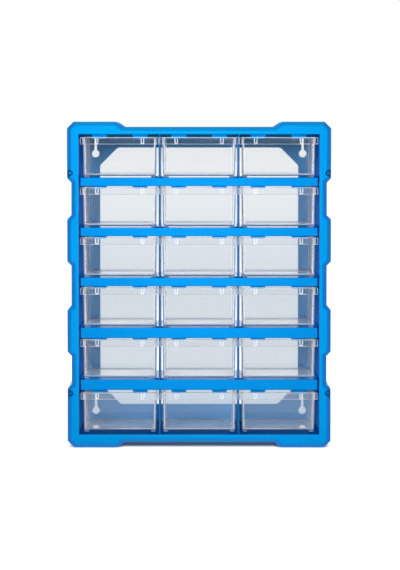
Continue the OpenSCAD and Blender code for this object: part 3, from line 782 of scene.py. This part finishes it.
class CABINET_OT_drawers(bpy.types.Operator):
    """Builds the eighteen clear drawers"""

    bl_idname = "cabinet.drawers"
    bl_label = "Drawers"

    def execute(self, context):
        p = plastic()
        sizes = context.scene.cabinet_drawer
        # The edge, corner and hook plastics are painted highlight: whitish and less clear than the
        # drawer.
        finishes = (
            clear_plastic("drawer_clear_plastic", p.clear, p.clear_roughness, 1.0, 0.002),
            clear_plastic("drawer_edge_highlight_plastic", p.highlight_white, 0.35, p.highlight_clear_share, 0.0),
            clear_plastic("drawer_corner_highlight_plastic", p.highlight_white, 0.2, 0.88, 0.0),
            clear_plastic("drawer_skid_plastic", p.skid, 0.5, 0.85, 0.01),
            clear_plastic("drawer_side_gleam_plastic", p.side, 0.15, 0.85, 0.0, 1.0, 0.45),
            clear_plastic("drawer_hook_highlight_plastic", p.highlight_white, 0.35, 0.35, 0.0),
        )
        master = united(drawer_parts(sizes))
        check_closed(master)
        finish_of = face_finishes(master, sizes)
        shape = np.empty(len(master.vertices) * 3)
        master.vertices.foreach_get("co", shape)
        shape = shape.reshape(-1, 3) * MM
        for node in DRAWER_NODES:
            low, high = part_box(node)
            mesh = master.copy()
            mesh.name = "clear_" + node
            place = np.array([(low[0] + high[0]) / 2, 0.0, low[2]])
            mesh.vertices.foreach_set("co", (shape + place).ravel())
            mesh.polygons.foreach_set("use_smooth", np.ones(len(mesh.polygons), bool))
            mesh.set_sharp_from_angle(angle=math.radians(32))
            mesh.update()
            mesh.materials.clear()
            for material in finishes:
                mesh.materials.append(material)
            mesh.polygons.foreach_set("material_index", finish_of)
            piece = bpy.data.objects.new("clear_" + node, mesh)
            context.scene.collection.objects.link(piece)
            level = piece.modifiers.new("level_faces", "WEIGHTED_NORMAL")
            level.keep_sharp = True
            piece.visible_shadow = False
            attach(piece, node)
            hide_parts(node)
        return {"FINISHED"}


# ---- Stage -----------------------------------------------------------------


def aimed(obj, place, target):
    """Puts an object at a place, looking at a target along its -Z."""
    obj.location = place
    obj.rotation_euler = (Vector(target) - Vector(place)).to_track_quat("-Z", "Y").to_euler()


def add_camera(s):
    """A long lens straight in front, looking slightly down, as for a catalogue picture."""
    data = bpy.data.cameras.new("camera")
    data.sensor_width = 36.0
    data.lens = s.lens
    data.clip_start = 0.1
    data.clip_end = 100.0
    camera = bpy.data.objects.new("camera", data)
    bpy.context.scene.collection.objects.link(camera)
    front = CAD_LOW.y
    place = (CAMERA_ASIDE, front - s.camera_distance, s.camera_height)
    aimed(camera, place, (CAMERA_ASIDE, front, s.aim_height))
    bpy.context.scene.camera = camera


def add_lamp(name, place, target, size, watts):
    """A rectangular soft lamp, size wide and high."""
    data = bpy.data.lights.new(name, "AREA")
    data.shape = "RECTANGLE"
    data.size, data.size_y = size
    data.energy = watts
    lamp = bpy.data.objects.new(name, data)
    bpy.context.scene.collection.objects.link(lamp)
    aimed(lamp, place, target)
    return lamp


def drawer_group(name, state):
    """A light-linking collection of the clear drawers: EXCLUDE keeps a lamp from mirroring in them,
    and INCLUDE gives them a lamp of their own."""
    group = bpy.data.collections.new(name)
    for node in DRAWER_NODES:
        group.objects.link(bpy.data.objects["clear_" + node])
    for item in group.collection_objects:
        item.light_linking.link_state = state
    return group


def set_world(s):
    """White to the eye, through clear plastic and in gloss, where it darkens towards the front."""
    world = bpy.data.worlds.new("surroundings")
    bpy.context.scene.world = world
    n = Nodes(world)
    path = n.add("ShaderNodeLightPath").outputs
    way = n.add("ShaderNodeTexCoord").outputs["Generated"]
    y = n.add("ShaderNodeSeparateXYZ", {"Vector": way}).outputs["Y"]
    gloss = n.product(
        n.ranged(y, 0.12, 1.0, (-0.7, 0.0)), path["Is Glossy Ray"],
        n.ranged(path["Transmission Depth"], 1.0, GLOSS_WITHIN),
    )
    through = n.product(n.ranged(y, 0.1, 1.0, (-0.3, 0.0)), path["Is Transmission Ray"])
    strength = n.math("MAXIMUM", path["Is Camera Ray"], n.math("MAXIMUM", gloss, through))
    total = n.math("MAXIMUM", strength, s.ambient)
    background = n.add("ShaderNodeBackground", {"Color": (1, 1, 1, 1), "Strength": total})
    n.add("ShaderNodeOutputWorld", {"Surface": background.outputs[0]})


def floor_to_eye(n, x, y, away):
    """How bright the floor is to the eye: white but for a painted soft shadow at the cabinet's foot,
    darkest in under it.
    """
    open_share = n.add("ShaderNodeAmbientOcclusion", {"Distance": SHADOW_REACH}, samples=8)
    deep_x = n.math("SUBTRACT", CAD_HIGH.x, n.math("ABSOLUTE", x))
    deep_y = n.math("SUBTRACT", CAD_HIGH.y, n.math("ABSOLUTE", y))
    # Painted shadow, darkest in under the cabinet.
    under = n.ranged(n.math("MINIMUM", deep_x, deep_y), 1.0, 0.05, (0.0, FOOT_DEPTH))
    return n.product(open_share.outputs["AO"], under, n.ranged(away, 0.9, 1.1, (0.4, 3.0)))


def floor_in_gloss(n, y, path):
    """How bright the floor is in gloss: full behind the cabinet and close in front of it, a painted
    pool of light, and less far in front and inside clear plastic."""
    front = n.ranged(y, 0.25, 1.0, (-1.6, -0.9))
    sheen = n.math("MAXIMUM", front, n.ranged(y, 0.0, 1.0, TO_BEHIND))
    return n.product(sheen, n.ranged(path["Transmission Depth"], 1.0, GLOSS_WITHIN))


def floor_through_plastic(n, y, away):
    """The floor's colour and strength through clear plastic: a bluish grey painted shade close to
    the cabinet, fading to white with distance, and a painted pool of light close in front of it."""
    far = n.math("DIVIDE", away, n.math("ADD", away, HALF_FAR))
    near_fade = n.ranged(far, 0.0, LEVEL_FADE, NEAR_FADE)
    far_fade = n.ranged(far, 0.0, 1.0 - LEVEL_FADE, FAR_FADE)
    shade_tinted = n.mixed(n.math("ADD", near_fade, far_fade), rgba(FLOOR_SHADE_TINT), (1, 1, 1, 1))
    behind = n.ranged(y, 0.0, 1.0, TO_BEHIND)
    # Painted light: a brighter pool on the floor close in front of the cabinet.
    before = n.product(n.ranged(y, 0.75, 1.6, (-1.5, -0.9)), n.math("SUBTRACT", 1.0, behind))
    return shade_tinted, n.math("ADD", before, behind)


def add_floor():
    """A wide pale floor that clear plastic, gloss and the eye each see at their own brightness."""
    half = FLOOR_HALF
    corners = [(-half, -half, 0), (half, -half, 0), (half, half, 0), (-half, half, 0)]
    mesh = bpy.data.meshes.new("floor")
    mesh.from_pydata(corners, [], [(0, 1, 2, 3)])
    floor = bpy.data.objects.new("floor", mesh)
    bpy.context.scene.collection.objects.link(floor)
    mat = bpy.data.materials.new("floor_white")
    n = Nodes(mat)
    path = n.add("ShaderNodeLightPath").outputs
    where = n.add("ShaderNodeTexCoord").outputs["Object"]
    x, y, _ = n.add("ShaderNodeSeparateXYZ", {"Vector": where}).outputs
    away = n.add("ShaderNodeVectorMath", {0: where}, operation="LENGTH").outputs["Value"]
    plain = n.add("ShaderNodeBsdfDiffuse", {"Color": (0.9, 0.9, 0.9, 1)})
    white = n.glow((1, 1, 1, 1), n.product(floor_to_eye(n, x, y, away), path["Is Camera Ray"]))
    shown = n.add("ShaderNodeAddShader", {0: plain.outputs[0], 1: white})
    for kind, light in (
        ("Is Glossy Ray", n.glow((1, 1, 1, 1), floor_in_gloss(n, y, path))),
        ("Is Transmission Ray", n.glow(*floor_through_plastic(n, y, away))),
    ):
        shown = n.add("ShaderNodeMixShader", {0: path[kind], 1: shown.outputs[0], 2: light})
    n.add("ShaderNodeOutputMaterial", {"Surface": shown.outputs[0]})
    mesh.materials.append(mat)


class CABINET_OT_stage(bpy.types.Operator):
    """Sets the camera, lamps, floor and surroundings"""

    bl_idname = "cabinet.stage"
    bl_label = "Stage"

    def execute(self, context):
        s = context.scene.cabinet_stage
        add_camera(s)
        middle = (CAD_LOW + CAD_HIGH) / 2
        free = drawer_group("all_but_drawers", "EXCLUDE")
        for name, place, watts in (
            ("high_lamp", HIGH_LAMP, s.high_power),
            ("middle_lamp", MIDDLE_LAMP, s.middle_power),
            ("low_lamp", LOW_LAMP, s.low_power),
        ):
            target = (0.0, CAD_LOW.y, min(place[2], AIM_BELOW))
            lamp = add_lamp(name, place, target, (0.25, 0.3), watts)
            lamp.light_linking.receiver_collection = free
        only = drawer_group("drawers_only", "INCLUDE")
        for side, name in ((-1, "left"), (1, "right")):
            place = (side * RIGHT_REAR_LAMP[0], *RIGHT_REAR_LAMP[1:])
            lamp = add_lamp(name + "_rear_lamp", place, middle, (1.0, 1.0), s.rear_power)
            lamp.light_linking.receiver_collection = free
            place = (side * RIGHT_GLINT[0], *RIGHT_GLINT[1:])
            glint = add_lamp(name + "_glint", place, middle, (0.5, 1.2), s.glint_power)
            glint.light_linking.receiver_collection = only
        watts = TOP_GLINT_SHARE * s.glint_power
        glint = add_lamp("top_glint", TOP_GLINT, middle, (0.9, 0.3), watts)
        glint.light_linking.receiver_collection = only
        set_world(s)
        add_floor()
        context.scene.view_settings.view_transform = "Standard"
        return {"FINISHED"}


# ---- Panel, registration and the run ---------------------------------------

OPERATORS = (CABINET_OT_casing, CABINET_OT_boards, CABINET_OT_drawers, CABINET_OT_stage)


class CABINET_PT_sidebar(bpy.types.Panel):
    """Lists the cabinet's pieces and its settings"""

    bl_label = "Parts cabinet"
    bl_idname = "CABINET_PT_sidebar"
    bl_space_type = "VIEW_3D"
    bl_region_type = "UI"
    bl_category = "Cabinet"

    def draw(self, context):
        layout = self.layout
        scene = context.scene
        for group in (scene.cabinet_plastic, scene.cabinet_drawer, scene.cabinet_stage):
            for key in group.__annotations__:
                layout.prop(group, key)
        for operator in OPERATORS:
            layout.operator(operator.bl_idname)


CLASSES = (CabinetPlastic, CabinetDrawer, CabinetStage, *OPERATORS, CABINET_PT_sidebar)


def register():
    for cls in CLASSES:
        bpy.utils.register_class(cls)
    bpy.types.Scene.cabinet_plastic = bpy.props.PointerProperty(type=CabinetPlastic)
    bpy.types.Scene.cabinet_drawer = bpy.props.PointerProperty(type=CabinetDrawer)
    bpy.types.Scene.cabinet_stage = bpy.props.PointerProperty(type=CabinetStage)


def unregister():
    del bpy.types.Scene.cabinet_stage
    del bpy.types.Scene.cabinet_drawer
    del bpy.types.Scene.cabinet_plastic
    for cls in reversed(CLASSES):
        bpy.utils.unregister_class(cls)


def main():
    """Makes everything in order."""
    register()
    bpy.ops.cabinet.casing()
    bpy.ops.cabinet.boards()
    bpy.ops.cabinet.drawers()
    bpy.ops.cabinet.stage()


if __name__ == "__main__":
    main()
